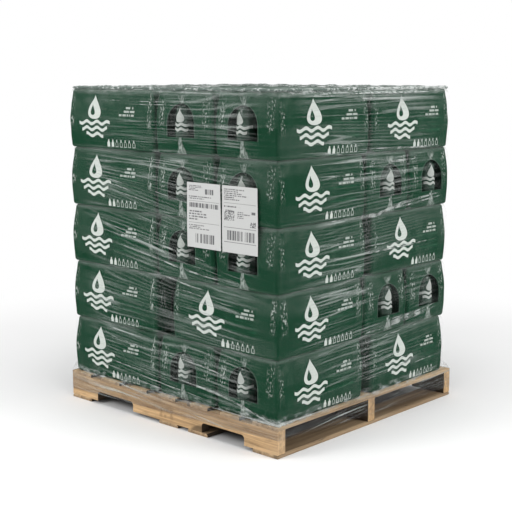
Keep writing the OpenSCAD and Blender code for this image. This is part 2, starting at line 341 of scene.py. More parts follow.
def belly(z):
    """How far a side stands back from its widest line at height z: most at the top edge, less at the foot."""
    v = np.asarray(z) / PACK_H - WIDEST_SHARE
    upper = BULGE_UP * (np.maximum(v, 0) / (1 - WIDEST_SHARE)) ** UPPER_CURVE
    lower = BULGE_DOWN * (np.maximum(-v, 0) / WIDEST_SHARE) ** LOWER_CURVE
    d = np.minimum(EDGE_R, np.minimum(z, PACK_H - z))
    return upper + lower + EDGE_R - np.sqrt(EDGE_R**2 - (EDGE_R - d) ** 2)


def loop(l, w, r, long_n, short_n, corner_n):
    """Points and outward ways of a rounded rectangle, always as many and in the same order."""
    points, ways = [], []
    for q, (sx, sy) in enumerate([(1, 1), (-1, 1), (-1, -1), (1, -1)]):
        cx, cy = sx * (l / 2 - r), sy * (w / 2 - r)
        for k in range(corner_n + 1):
            a = math.pi / 2 * (q + k / corner_n)
            points.append((cx + r * math.cos(a), cy + r * math.sin(a)))
            ways.append((math.cos(a), math.sin(a)))
        n = long_n if q % 2 == 0 else short_n
        a = math.pi / 2 * (q + 1)
        run = (l if q % 2 == 0 else w) - 2 * r
        step = (-math.sin(a), math.cos(a))
        for k in range(1, n):
            points.append((points[-1][0] + step[0] * run / n, points[-1][1] + step[1] * run / n))
            ways.append((math.cos(a), math.sin(a)))
    return np.array(points), np.array(ways)


def ripple(p, seed, size, count=7):
    """Soft random hills from a few crossing waves, about -1 to 1."""
    rng = np.random.default_rng(seed)
    total = np.zeros(len(p))
    for _ in range(count):
        k = rng.normal(size=3) * 2 * math.pi / size
        total += np.sin(p @ k + rng.uniform(0, 2 * math.pi))
    return total / math.sqrt(count)


def new_mesh(name, verts, faces):
    """A smooth-shaded mesh from lists of points and faces."""
    mesh = bpy.data.meshes.new(name)
    mesh.from_pydata(verts, [], faces)
    mesh.shade_smooth()
    return mesh


def note_points(mesh, name, vectors):
    """Keeps one vector for each point of a mesh, for its finish to read."""
    data = mesh.attributes.new(name, "FLOAT_VECTOR", "POINT").data
    data.foreach_set("vector", np.asarray(vectors, np.float32).ravel())


def quads(rows, n, around=True, closed=False):
    """Quads between rows of n points; around joins the ends of a row, closed the last row and the first."""
    faces = []
    for i in range(rows if closed else rows - 1):
        step = ((i + 1) % rows - i) * n
        for j in range(n if around else n - 1):
            a, b = i * n + j, i * n + (j + 1) % n
            faces.append((a, b, b + step, a + step))
    return faces


def mesh_from_rings(name, rings, close=True):
    """Joins rings of equally many points by quads; close puts a face over the first and the last ring."""
    n = len(rings[0])
    faces = quads(len(rings), n)
    if close:
        faces.append(tuple(reversed(range(n))))
        faces.append(tuple(range((len(rings) - 1) * n, len(rings) * n)))
    return new_mesh(name, np.concatenate(rings).tolist(), faces)


print("load", round(LOAD_LEN, 3), "x", round(LOAD_W, 3))


# %% Film of one pack
def bottle_places(w):
    """Bottle axes of a pack, in nested rows."""
    rows = max(int(round((w - BOTTLE_D) / ROW_PITCH)) + 1, 1)
    places = []
    for i in range(rows):
        y = (i - (rows - 1) / 2) * ROW_PITCH
        for k in range(6):
            places.append(((k - 2.5) * BOTTLE_D + (0.25 if i % 2 else -0.25) * BOTTLE_D, y))
    return places


def film_rings(l, w, seed):
    """The film as rings: out over the foot, up the bellied side and in over the dimpled top."""
    long_n, short_n, corner_n = round(l / FILM_CELL), round(w / FILM_CELL), 7
    edge_steps = np.array([0, 0.03, 0.12, 0.3, 0.6])
    low = EDGE_R * edge_steps
    heights = np.concatenate([low, np.linspace(EDGE_R, PACK_H - EDGE_R, 22), PACK_H - low[::-1]])
    rim = BULGE_UP + EDGE_R
    insets = np.linspace(w / 2 - 4 * MM, rim + 6 * MM, 12)
    levels = [(d, 0.0) for d in insets[::3]]
    levels += [(float(belly(z)), z) for z in heights]
    levels += [(d, PACK_H) for d in insets[::-1]]
    rings = []
    for d, z in levels:
        points, ways = loop(l - 2 * d, w - 2 * d, max(CORNER_R - d * 0.55, 1 * MM), long_n, short_n, corner_n)
        p = np.column_stack([points, np.full(len(points), z)])
        side = np.clip(min(z, PACK_H - z) / 0.03, 0, 1)
        flat_x, flat_y = np.abs(ways[:, 0]) > 0.999, np.abs(ways[:, 1]) > 0.999
        dent = np.where(flat_y, 0.5 + 0.5 * np.cos(2 * math.pi * p[:, 0] / BOTTLE_D), 0.0)
        dent += np.where(flat_x, 0.5 + 0.5 * np.cos(2 * math.pi * p[:, 1] / (2 * ROW_PITCH)), 0.0)
        depth = side * (1.6 * MM * dent + 1.3 * MM * (1 + ripple(p, seed, 0.13)) / 2)
        p[:, :2] -= ways * depth[:, None]
        if z == PACK_H:
            lift = np.zeros(len(p))
            for bx, by in bottle_places(w):
                far = np.hypot(p[:, 0] - bx, p[:, 1] - by)
                lift = np.maximum(lift, np.exp(-((far / 0.021) ** 2)))
            sag = np.clip((d - rim) / 0.012, 0, 1)
            p[:, 2] += -sag * (TOP_SAG * (1 - lift)) + sag * 0.6 * MM * ripple(p, seed + 5, 0.05)
            if d == insets[0]:
                p[:, 2] = PACK_H - TOP_SAG
        rings.append(p)
    return rings


def window_outline(steps=28):
    """The arch from sill to sill, as (across, up) points."""
    r = WINDOW_W / 2
    spring = WINDOW_SILL + WINDOW_H - r
    arch = [(r * math.cos(a), spring + r * math.sin(a)) for a in np.linspace(0, math.pi, steps)]
    return [(y + WINDOW_ASIDE, z) for y, z in [(r, WINDOW_SILL), *arch, (-r, WINDOW_SILL)]]


def prism(name, outline, low, high, axis):
    """A straight block over an outline, along X or Y, between two places."""
    n = len(outline)
    lift = (lambda p, t: (t, p[0], p[1])) if axis == "X" else (lambda p, t: (p[0], t, p[1]))
    verts = [lift(p, low) for p in outline] + [lift(p, high) for p in outline]
    faces = [tuple(range(n)), tuple(reversed(range(n, 2 * n)))]
    faces += [(i, n + i, n + (i + 1) % n, (i + 1) % n) for i in range(n)]
    mesh = bpy.data.meshes.new(name)
    mesh.from_pydata(verts, [], faces)
    shape = bmesh.new()
    shape.from_mesh(mesh)
    bmesh.ops.recalc_face_normals(shape, faces=shape.faces)
    shape.to_mesh(mesh)
    shape.free()
    obj = bpy.data.objects.new(name, mesh)
    link(obj)
    return obj


def cut_windows(obj, l):
    """Hollows the film behind both ends and opens the arches."""
    cutters = []
    heights = np.linspace(ROOM_LOW, ROOM_HIGH, 24)
    for s in (-1, 1):
        back = s * (l / 2 - ROOM_DEEP)
        front = s * (l / 2 - belly(heights) - ROOM_WALL)
        room = [(back, heights[0]), *zip(front, heights), (back, heights[-1])]
        cutters.append(prism("room", room, WINDOW_ASIDE - ROOM_HALF, WINDOW_ASIDE + ROOM_HALF, "Y"))
        ends = sorted((s * (l / 2 - 40 * MM), s * (l / 2 + 20 * MM)))
        cutters.append(prism("arch", window_outline(), *ends, "X"))
    for cutter in cutters:
        cut = obj.modifiers.new(cutter.name, "BOOLEAN")
        cut.object, cut.operation, cut.solver = cutter, "DIFFERENCE", "EXACT"
    shaped = bpy.data.meshes.new_from_object(obj.evaluated_get(bpy.context.evaluated_depsgraph_get()))
    obj.modifiers.clear()
    obj.data = shaped
    for cutter in cutters:
        bpy.data.objects.remove(cutter)
    return shaped


def pack_variant(name, seed, l, w, windows=True):
    mesh = mesh_from_rings(name, film_rings(l, w, seed))
    if windows:
        obj = bpy.data.objects.new(name, mesh)
        link(obj)
        mesh = cut_windows(obj, l)
        bpy.data.objects.remove(obj)
    return mesh


long_meshes = [pack_variant(f"pack_film_long_{i}", 11 + i, LONG_LEN, PACK_W) for i in range(3)]
slack_meshes = [pack_variant(f"pack_film_slack_{i}", 21 + i, PACK_LEN, SLACK_W) for i in range(3)]
square_mesh = pack_variant("pack_film_square", 31, SQUARE_LEN, PACK_LEN, windows=False)
print("pack faces", [len(m.polygons) for m in long_meshes], len(square_mesh.polygons))

# %% [markdown]
# ## Print on the film
# Real film is printed in white on bottle green. The print here is a plain water design of its own: a drop
# over three waves, a row of small bottles and a few rules. Formulas draw it from the pack's own
# coordinates, so it is sharp at any size and needs no image.

# %% Print finish
PRINT_WHITE, SEAL_PALE, ROOM_SHADE = (0.62, 0.66, 0.62), (0.46, 0.51, 0.475), (0.005, 0.012, 0.008)
FILM_GREENS = (0.0042, 0.038, 0.0174), (0.0064, 0.049, 0.0230)
ICON_PITCH = 23 * MM


def drop_shape(x, y, wide, tall):
    """1 inside a water drop round (0, 0), point up."""
    v = y / (tall / 2)
    room = (1.0 - v * v).most(0.0).sqrt()
    return abs(x) < (1.0 - v) * room * (wide * 0.385)


def wave_shape(x, y, wide, thick, swing, length):
    """1 inside a wavy band round (0, 0)."""
    return (abs(y - (x * (2 * math.pi / length)).sin() * swing) < thick / 2) * (abs(x) < wide / 2)


def print_film(name, l, w, shift, end_shift=None):
    """White print on green. shift moves the print along the side; with end_shift the ends are printed too."""
    f = Finish(name)
    place = f.node("TexCoord", out=3)
    x, y, z = f.split(place)
    _, _, tilt = f.split(f.node("NewGeometry", out=1))
    on_end = abs(x) > l / 2 - 26 * MM
    on_side = abs(y) > w / 2 - 24 * MM
    run = -x * y.sign() - shift
    if end_shift is None:
        face = on_side * (1.0 - (abs(x) > l / 2 - 8 * MM))
    else:
        run = f.node("Mix", None, {0: on_end * (1.0 - on_side), 2: run, 3: y * x.sign() - end_shift})
        face = (on_end + on_side).least(1.0)
    up = z - PACK_H / 2

    # Emblem: a drop over waves, left of the middle
    ex, ey = run + 70 * MM, up - 3 * MM
    emblem = drop_shape(ex, ey - 40 * MM, 72 * MM, 88 * MM)
    hollow = drop_shape(ex + 9 * MM, ey - 30 * MM, 22 * MM, 40 * MM)
    emblem = emblem * (1.0 - hollow)
    for k, wide in enumerate((172, 142, 96)):
        emblem = emblem.most(wave_shape(ex, ey + (17 + 22 * k) * MM, wide * MM, 11.5 * MM, 5 * MM, 58 * MM))
    # Rules at the right, in three lengths, and a row of small bottles under them, the first two bold
    rules = None
    for k, wide in enumerate((46, 58, 82)):
        bar = (abs(run - (150 - wide / 2) * MM) < wide / 2 * MM) * (abs(up - (42 - 13 * k) * MM) < 3.6 * MM)
        gaps = f.hash(f.join((run * 210.0).floor(), float(k), 0.0)) > 0.16
        rules = bar * gaps if rules is None else rules.most(bar * gaps)
    cx = ((run + 28 * MM) / ICON_PITCH).fract() * ICON_PITCH - ICON_PITCH / 2
    by = up + 99 * MM
    body = (abs(cx) < 7.0 * MM) * by.within(0.0, 16 * MM)
    neck = (abs(cx) < (25 * MM - by) * 0.62) * (abs(cx) < 7.0 * MM) * by.within(0.0, 22 * MM)
    cap = (abs(cx) < 2.8 * MM) * by.within(0.0, 26 * MM)
    icons = body.most(neck).most(cap)
    core = (abs(cx) < 4.6 * MM) * by.within(2.5 * MM, 17 * MM)
    bold = run < 41 * MM
    icons = icons * (1.0 - core * (1.0 - bold)) * run.within(-5 * MM, 156 * MM) * (0.72 + bold * 0.28)
    ink = emblem.most(rules * 0.66).most(icons) * face
    glints = f.field(run * 9.0, y * 9.0, up * 210.0, 1.0).soft(0.56, 0.70)
    faint = glints * face * run.within(20 * MM, 160 * MM) * up.within(-50 * MM, 15 * MM)

    # Painted highlights: white glints of crinkled film beside the upright edges, mostly on the upper half
    grit = f.field(x * 170.0, y * 170.0, z * 95.0, 2.0, 0.7).soft(0.52, 0.64)
    flock = f.field(x * 16.0, y * 16.0, z * 22.0, 1.0).soft(0.28, 0.48)
    high = z.soft(66 * MM, 110 * MM) * (1.0 - z.soft(188 * MM, 206 * MM))
    end_strip = (1.0 - (abs(abs(y) - (w / 2 - 36 * MM)) / (20 * MM)).soft(0.3, 1.0)) * on_end
    side_strip = (1.0 - (abs(abs(x) - (l / 2 - 24 * MM)) / (15 * MM)).soft(0.3, 1.0)) * on_side
    crinkle_glints = grit * flock * high * end_strip.most(side_strip)

    # Ends: a painted highlight along the window's welded rim, and the pale gather of the heat seal under and
    # over it
    across = y - WINDOW_ASIDE
    crumple = f.field(x * 30.0, y * 190.0, z * 60.0, 4.0, 0.7)
    sway = f.field(x * 4.0, 0.0, z * 34.0, 2.0) - 0.5
    lean = across - sway * (30 * MM)
    below = ((WINDOW_SILL - z) / WINDOW_SILL).clip()
    under_half = 8 * MM + below * below * (24 * MM)
    under = (1.0 - (abs(lean) / under_half).soft(0.4, 1.1)) * (1.0 - z.soft(54 * MM, 60 * MM))
    over = (z - (WINDOW_SILL + WINDOW_H)).most(0.0)
    above = (1.0 - (abs(lean) / (5 * MM + over * 0.9)).soft(0.3, 1.1)) * z.soft(170 * MM, 175 * MM)
    above = above * (1.0 - z.soft(182 * MM, 208 * MM))
    spring = WINDOW_SILL + WINDOW_H - WINDOW_W / 2
    rise = (z - spring).most(0.0)
    rim = abs((across * across + rise * rise).sqrt() - WINDOW_W / 2) < 2.4 * MM
    rim = rim * (z > WINDOW_SILL) * on_end
    gather = (under + above) * (0.16 + 0.84 * crumple.soft(0.42, 0.58)) * on_end
    share = z / PACK_H - WIDEST_SHARE
    back = (share.most(0.0) / (1 - WIDEST_SHARE)).power(UPPER_CURVE) * BULGE_UP
    back = back + ((-share).most(0.0) / WIDEST_SHARE).power(LOWER_CURVE) * BULGE_DOWN
    # Painted shade: the film inside the hollow behind each window is coloured nearly black
    shaded_inside = (abs(x) + back < l / 2 - ROOM_WALL + 1.6 * MM) * (abs(across) < ROOM_HALF + 0.5 * MM)
    shaded_inside = shaded_inside * z.within(ROOM_LOW - 0.5 * MM, ROOM_HIGH + 1 * MM)
    if end_shift is not None:
        gather, rim, shaded_inside = gather * 0.0, rim * 0.0, shaded_inside * 0.0

    mottle = f.noise(place, 9.0, 3.0)
    green = f.mix(mottle, *FILM_GREENS)
    green = f.mix(faint * 0.32, green, (0.030, 0.150, 0.075))
    sheen = tilt.soft(0.10, 0.19) * (1.0 - tilt.soft(0.5, 0.9)) + (-tilt).soft(0.08, 0.3) * 0.8
    green = f.mix(sheen * (0.3 + mottle * 0.5), green, (0.040, 0.083, 0.056))
    # Painted highlight: a lighter green line along the window's rim
    green = f.mix(rim * 0.6, green, (0.09, 0.15, 0.115))
    colour = f.mix((ink * 0.95).most(crinkle_glints * 0.72), green, PRINT_WHITE)
    colour = f.mix(gather * 0.8, colour, SEAL_PALE)
    # Painted shade in the hollow behind the window
    colour = f.mix(shaded_inside, colour, ROOM_SHADE)
    folds = f.field(x * 5.0, y * 5.0, z * 26.0, 3.0, 0.6)
    upright = f.field(x * 60.0, y * 60.0, z * 3.0, 2.0, 0.5)
    corner = (abs(x) > l / 2 - 60 * MM) * (abs(y) > w / 2 - 60 * MM)
    height = folds * 0.5 + upright * corner * 0.7 + gather * crumple * 1.5 + crinkle_glints * 0.8
    f.surface({
        "Base Color": colour,
        "Roughness": 0.30 + mottle * 0.12,
        "Specular IOR Level": 0.05,
        "Coat Weight": tilt.soft(0.5, 0.9) * 0.45,
        "Coat Roughness": 0.22,
        "Normal": f.bump(height, 0.6, 0.004),
    })
    return f.mat


film_prints = (
    (long_meshes, print_film("print_film", LONG_LEN, PACK_W, -17 * MM)),
    (slack_meshes, print_film("print_film_slack", PACK_LEN, SLACK_W, 12 * MM)),
    ([square_mesh], print_film("print_film_square", SQUARE_LEN, PACK_LEN, -8 * MM, end_shift=13 * MM)),
)
for meshes, finish in film_prints:
    for mesh in meshes:
        mesh.materials.clear()
        mesh.materials.append(finish)
print("print ready")


# %% [markdown]
# ## Stacking
# Three layers hold two rows of two packs beside a column of three. In the other two, pairs of packs lie
# round a small shaft, and in one of them a square pack takes the place of a pair. The lists follow the
# CAD's order, and the films are a little longer and wider than its solids, as in the photograph.

# %% Pack places
near_pair = [(NEAR_X - SLACK_W / 2 - i * PITCH_X, NEAR_Y + PACK_LEN / 2, 90) for i in (0, 1)]
column_x = FAR_X + LONG_LEN / 2
pair_w = 2 * PACK_LEN + GAP_PAIR
row_layer = near_pair + [(x, y + PACK_LEN + GAP_PAIR, turn) for x, y, turn in near_pair]
row_layer += [(column_x, NEAR_Y + PACK_W / 2 + i * (pair_w - PACK_W) / 2, 0) for i in range(3)]
wheel_sides = [(column_x, NEAR_Y + PACK_W / 2 + i * (PACK_W + GAP_W), 0) for i in (0, 1)]
wheel_sides += [(NEAR_X - LONG_LEN / 2, FAR_Y - PACK_W / 2 - i * (PACK_W + GAP_W), 0) for i in (0, 1)]
wheel_sides += [(FAR_X + SLACK_W / 2 + i * PITCH_X, FAR_Y - PACK_LEN / 2, 90) for i in (0, 1)]
layer_packs = {1: row_layer, 2: wheel_sides, 3: row_layer, 4: near_pair + wheel_sides, 5: row_layer}
draw = random.Random(4)


def place_piece(obj, slot, *nodes):
    """Puts a piece in the scene, on the body and in place of the CAD nodes; slot is not used."""
    link(obj)
    bpy.context.view_layer.update()
    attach(obj, "root")
    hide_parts(*nodes)


# The crevices between the turned packs of two layers are narrower, so these packs are a little longer
# towards the crevice, and their outer ends stay in place.
STRETCH = {3: 1.012, 5: 1.035}
for layer, places in layer_packs.items():
    base = DECK_Z + (layer - 1) * PACK_H
    for i, (x, y, turn) in enumerate(places):
        mesh = draw.choice(slack_meshes if turn else long_meshes)
        obj = bpy.data.objects.new(f"pack_{layer}_{i + 1}", mesh)
        stretch = STRETCH.get(layer, 1.0) if turn else 1.0
        obj.location = (x, y - math.copysign((stretch - 1) * PACK_LEN / 2, y), base)
        obj.scale = (stretch, 1, 1)
        obj.rotation_euler = (0, 0, math.radians(turn))
        place_piece(obj, "print_film", f"packs_layer_{layer}")
obj = bpy.data.objects.new("pack_2_square", square_mesh)
obj.location = (NEAR_X - SQUARE_LEN / 2, NEAR_Y + PACK_LEN / 2, DECK_Z + PACK_H)
place_piece(obj, "print_film", "packs_layer_2")
print("packs", sum(len(p) for p in layer_packs.values()) + 1)

# %% [markdown]
# ## Bottles behind the windows
# A green bottle with a round shoulder stands behind each window, and its cap is hidden under the film. Both
# are turned shapes, so rings of one profile make them. The bottles of a layer are one mesh, and each keeps
# its own coordinates for the mark on its front.

# %% Bottle and cap shapes
TURN_SIDES = 28
turn_angles = np.linspace(0, 2 * math.pi, TURN_SIDES, endpoint=False)
circle = np.array([(math.cos(a), math.sin(a)) for a in turn_angles])


def bottle_profile():
    """(radius, height) from foot to neck."""
    r, top_r, foot_r = BOTTLE_D / 2, 31 * MM, 9 * MM
    foot_turn = np.linspace(0, 1.57, 5)
    foot = [(r - foot_r + foot_r * math.sin(a), foot_r - foot_r * math.cos(a)) for a in foot_turn]
    body = [(r, 40 * MM), (r, 62 * MM), (34.6 * MM, 80 * MM), (33 * MM, 110 * MM), (top_r, 142 * MM)]
    dome = [(top_r * math.cos(a), 142 * MM + top_r * math.sin(a)) for a in np.linspace(0.15, 1.08, 7)]
    neck = [(13.2 * MM, 172 * MM), (13 * MM, 184 * MM), (16.5 * MM, 185 * MM), (16.5 * MM, 187 * MM)]
    return foot + body + dome + neck + [(13 * MM, 187.5 * MM), (13 * MM, 190 * MM)]


def turned(profile):
    """Points and faces of a closed shape turned about Z."""
    n = TURN_SIDES
    points = np.concatenate([np.column_stack([circle * r, np.full(n, z)]) for r, z in profile])
    ends = [tuple(reversed(range(n))), tuple(range(len(points) - n, len(points)))]
    return points, ends + quads(len(profile), n)


bottle_shape = turned(bottle_profile())
cap_profile = [(12 * MM, 190 * MM), (14.2 * MM, 190.2 * MM), (14.2 * MM, 200 * MM), (12.6 * MM, 202 * MM)]
cap_shape = turned(cap_profile)
print("bottle faces", len(bottle_shape[1]), "cap faces", len(cap_shape[1]))

# %% Bottle and cap finishes
f = Finish("bottle_green")
own = f.node("Attribute", {"attribute_name": "own_place"}, out=1)
bx, by, bz = f.split(own)
front = bx > 0.0
mark = drop_shape(by, bz - 127 * MM, 34 * MM, 46 * MM)
for k, wide in enumerate((70, 56)):
    mark = mark.most(wave_shape(by, bz - (96 - 16 * k) * MM, wide * MM, 9.5 * MM, 2.8 * MM, 29 * MM))
cloud = f.noise(own, 30.0, 2.0)
glints = f.noise(own, 260.0, 2.0, 0.6).soft(0.58, 0.72) * bz.soft(140 * MM, 152 * MM) * front
glass_green = f.mix(cloud, (0.010, 0.030, 0.019), (0.020, 0.052, 0.034))
f.surface({
    "Base Color": f.mix((mark * front * 0.9).most(glints * 0.4), glass_green, (0.46, 0.49, 0.46)),
    "Roughness": 0.14 + cloud * 0.1,
    "Specular IOR Level": 0.35,
})
bottle_green = f.mat

f = Finish("cap_plastic")
tone = f.noise(f.node("TexCoord", out=3), 60.0)
f.surface({"Base Color": f.mix(tone, (0.70, 0.74, 0.70), (0.78, 0.82, 0.78)), "Roughness": 0.45})
cap_plastic = f.mat


# %% Bottles and caps
def stand(name, shape, places, finish, slot, node):
    """One mesh with a copy of a turned shape at each place, turned to face out of its window."""
    points, faces = shape
    verts, all_faces = [], []
    for x, y, z, spin in places:
        all_faces += [tuple(len(verts) * len(points) + v for v in face) for face in faces]
        c, s = math.cos(spin), math.sin(spin)
        verts.append(points @ np.array([[c, s, 0], [-s, c, 0], [0, 0, 1]]) + (x, y, z))
    mesh = new_mesh(name, np.concatenate(verts).tolist(), all_faces)
    note_points(mesh, "own_place", np.tile(points, (len(verts), 1)))
    mesh.materials.append(finish)
    place_piece(bpy.data.objects.new(name, mesh), slot, node)


# A bottle's axis lies behind the end of its pack, aside of the window's middle, and it stands on the film.
BOTTLE_BACK = 7 * MM + BOTTLE_D / 2
BOTTLE_ASIDE = WINDOW_ASIDE + 19 * MM
BOTTLE_FOOT = 4.2 * MM
for layer, places in layer_packs.items():
    spots = []
    for x, y, turn in places:
        c, s = math.cos(math.radians(turn)), math.sin(math.radians(turn))
        for end in (1, -1):
            reach = end * ((PACK_LEN if turn else LONG_LEN) / 2 - BOTTLE_BACK)
            spin = math.radians(turn + (0 if end > 0 else 180) + draw.uniform(-14, 14))
            at = (x + reach * c - BOTTLE_ASIDE * s, y + reach * s + BOTTLE_ASIDE * c)
            spots.append((*at, DECK_Z + (layer - 1) * PACK_H + BOTTLE_FOOT, spin))
    stand(f"bottles_{layer}", bottle_shape, spots, bottle_green, "bottle_green", f"bottles_layer_{layer}")
    stand(f"caps_{layer}", cap_shape, spots, cap_plastic, "cap_plastic", f"caps_layer_{layer}")
print("bottles per layer", {k: 2 * len(v) for k, v in layer_packs.items()})

# %% [markdown]
# ## Stretch wrap
# Clear film is wound round the load many times. It is drawn tight at the corners, lies in long streaks on
# the flats and dips a little between the layers. A cloth simulation would be slow and hard to steer, so
# the wrap is one tall tube of rings with soft ridges, and its finish adds the fine streaks, partly painted
# highlights, the grey veil where turns overlap, partly a painted reflection, and the pale bunched edges.

# %% Tube of the wrap
WRAP_OFF, DECK_OFF = 2.0 * MM, 1.2 * MM
WRAP_DIP = 13 * MM
PALLET_X, PALLET_Y = 1067 * MM / 2, 1016 * MM / 2
TOP_Z = DECK_Z + LAYERS * PACK_H
BRIM_Z, BRIM_IN, BRIM_UP = TOP_Z - 8 * MM, 9 * MM, 12 * MM
LEFT, RIGHT, BACK, FAR_END = 1, 2, 3, 4
DIAGONAL = 0.7071


def wrap_box(z):
    """Sides of the wrap's outline at a height, and its corner radius."""
    t = min(max((z - DECK_Z) / 0.04, 0.0), 1.0)
    h = (z - DECK_Z) % PACK_H
    near_seam = min(h, PACK_H - h) / PACK_H
    dip = WRAP_DIP * max(0.0, 1 - near_seam / 0.15) ** 2 if z > DECK_Z + 0.1 else 0.0
    load = (FAR_X + dip - WRAP_OFF, NEAR_X - dip + WRAP_OFF, NEAR_Y + dip - WRAP_OFF, FAR_Y - dip + WRAP_OFF)
    deck = (-PALLET_X - DECK_OFF, PALLET_X + DECK_OFF, -PALLET_Y - DECK_OFF, PALLET_Y + DECK_OFF)
    return [d + (a - d) * t for a, d in zip(load, deck)], 2 * MM + t * (20 * MM - 0.6 * dip)


def wrap_ring(z, inset=0.0, lift=0.0):
    """Points and outward ways of the wrap's outline at a height, drawn in and lifted."""
    (x0, x1, y0, y1), r = wrap_box(z)
    x0, x1, y0, y1 = x0 + inset, x1 - inset, y0 + inset, y1 - inset
    points, ways = loop(x1 - x0, y1 - y0, max(r - inset, 2 * MM), 120, 116, 7)
    return np.column_stack([points + ((x0 + x1) / 2, (y0 + y1) / 2), np.full(len(points), z + lift)]), ways


def pull_lean(face, z):
    """Slope of the streaks on a face: the film was wound upwards at an angle that changed on the way."""
    left_z = (0.1, 0.3, 0.5, 0.65, 0.85, 0.97, 1.06)
    left = np.interp(z, left_z, (-0.06, -0.075, -0.085, -0.15, -0.16, -0.06, 0.0))
    right = np.interp(z, (0.1, 0.4, 0.8, 1.0), (0.045, 0.04, 0.03, 0.0))
    return np.where(face == LEFT, left, np.where(face == RIGHT, right, -0.05))


def film_place(p, ways):
    """Way along the film round the load, height square to its streaks, and face number."""
    along_x = np.where(ways[:, 1] < 0, LEFT, BACK)
    along_y = np.where(ways[:, 0] > 0, RIGHT, FAR_END)
    face = np.where(np.abs(ways[:, 1]) > DIAGONAL, along_x, along_y)
    from_corner = np.select(
        [face == LEFT, face == RIGHT, face == BACK],
        [p[:, 0] - NEAR_X, p[:, 1] - NEAR_Y, LOAD_W + NEAR_X - p[:, 0]],
        LOAD_W + LOAD_LEN + FAR_Y - p[:, 1],
    )
    local = np.select([face == BACK, face == FAR_END], [NEAR_X - p[:, 0], FAR_Y - p[:, 1]], from_corner)
    q = p[:, 2] - pull_lean(face, p[:, 2]) * local
    return np.column_stack([from_corner, q, face.astype(float)])


def foot_edge(p, ways):
    """Height of the film's lower edge over the floor, lowest at the far corners."""
    x_share, y_share = (p[:, 0] + PALLET_X) / (2 * PALLET_X), (p[:, 1] + PALLET_Y) / (2 * PALLET_Y)
    left = 34 * MM + 28 * MM * x_share
    right = np.interp(y_share, (0, 0.5, 1), (0.061, 0.038, 0.034))
    return np.where(ways[:, 0] > 0.7, right, np.where(ways[:, 1] < -0.7, left, 0.036))


def flatness(p, ways):
    """1 on the flats of the load, 0 at its upright corners."""
    flat = np.clip((np.max(np.abs(ways), axis=1) - 0.96) / 0.04, 0, 1)
    edge = np.where(
        np.abs(ways[:, 1]) > DIAGONAL,
        np.minimum(p[:, 0] - FAR_X, NEAR_X - p[:, 0]),
        np.minimum(p[:, 1] - NEAR_Y, FAR_Y - p[:, 1]),
    )
    return flat * np.clip((edge - 0.02) / 0.14, 0, 1)


rings, film_at = [], []
levels = [("skirt", t) for t in np.linspace(0, 1, 9)]
levels += [("load", z) for z in np.linspace(DECK_Z + 6 * MM, BRIM_Z, 150)]
for kind, t in levels:
    p, ways = wrap_ring(DECK_Z if kind == "skirt" else t)
    if kind == "skirt":
        p[:, 2] = foot_edge(p, ways) * (1 - t) + DECK_Z * t
    at = film_place(p, ways)
    waves = np.column_stack([at[:, 0] * 0.05, at[:, 1], np.zeros(len(p))])
    ridge = (1 + ripple(waves, 3, 0.045, 9) * 0.7 + ripple(waves, 4, 0.02, 9) * 0.4).clip(0, 2)
    p[:, :2] += ways * (ridge * flatness(p, ways) * 0.9 * MM)[:, None]
    rings.append(p)
    film_at.append(at)
for inset, lift in ((4, 6), (9, 12), (22, 15), (45, 13), (68, 11), (92, 10)):
    p, ways = wrap_ring(BRIM_Z, inset * MM, lift * MM)
    p[:, 2] += ripple(p, 17, 0.07) * MM
    if inset > 60:
        p[:, :2] += ways * (ripple(p, 19, 0.16) * 9 * MM)[:, None]
    rings.append(p)
    film_at.append(film_at[-1] + (0.0, 0.012, 0.0))
wrap_mesh = mesh_from_rings("stretch_wrap", rings, close=False)
note_points(wrap_mesh, "film_at", np.concatenate(film_at))
print("wrap faces", len(wrap_mesh.polygons))


# %% Wrap finish
f = Finish("clear_wrap")
px, py, pz = f.split(f.node("TexCoord", out=3))
along, q, face = f.split(f.node("Attribute", {"attribute_name": "film_at"}, out=1))


def comb(pitch, length, seed):
    """Fine even streaks along the pull, which wander a little."""
    wander = f.field(along / length, q / 0.11, face * 3.0 + seed, 1.0, 0.4)
    return ((q / pitch + wander * 3.0) * (2 * math.pi)).sin()


def lines(length, pitch, thin, seed):
    """Thin single lines: where a long-drawn noise crosses its middle."""
    n = f.field(along / length, q / pitch, face * 3.0 + seed, 1.0, 0.4)
    return (1.0 - abs(n - 0.5) / thin).clip()


def areas(long_scale, high_scale, low, high, seed):
    """Soft-edged areas of the film, longer than high."""
    return f.field(along * long_scale, q * high_scale, face * 7.0 + seed).soft(low, high)


from_x = (px - FAR_X).least(NEAR_X - px)
from_y = (py - NEAR_Y).least(FAR_Y - py)
inner = from_x.most(from_y).soft(0.05, 0.24)
# Pale streaks of wrinkled film, partly painted highlights along the wrinkles
streaks = (0.5 + 0.5 * comb(0.0118, 0.6, 1.0)).power(3.0) * areas(2.6, 11.0, 0.40, 0.58, 4.0) * 0.11
streaks = streaks + (0.5 + 0.5 * comb(0.0265, 0.5, 5.0)).power(7.0) * areas(2.2, 6.0, 0.42, 0.60, 9.0) * 0.20
streaks = streaks + lines(0.9, 0.034, 0.03, 6.0) * areas(2.0, 5.0, 0.44, 0.58, 8.0) * 0.30
left_side, right_side = face.within(0.5, 1.5), face.within(1.5, 2.5)
calm = pz.soft(0.97, 1.04) * (1.0 - px.soft(-0.30, -0.02)) * left_side
streaks = streaks * (1.0 - calm * 0.7)
top_lines = lines(1.2, 0.014, 0.10, 31.0) * pz.soft(TOP_Z - 0.085, TOP_Z - 0.012)
streaks = streaks + top_lines * (0.06 + right_side * 0.20)
turns = f.field(0.0, q * 6.5, face * 2.0, 1.0, 0.4)
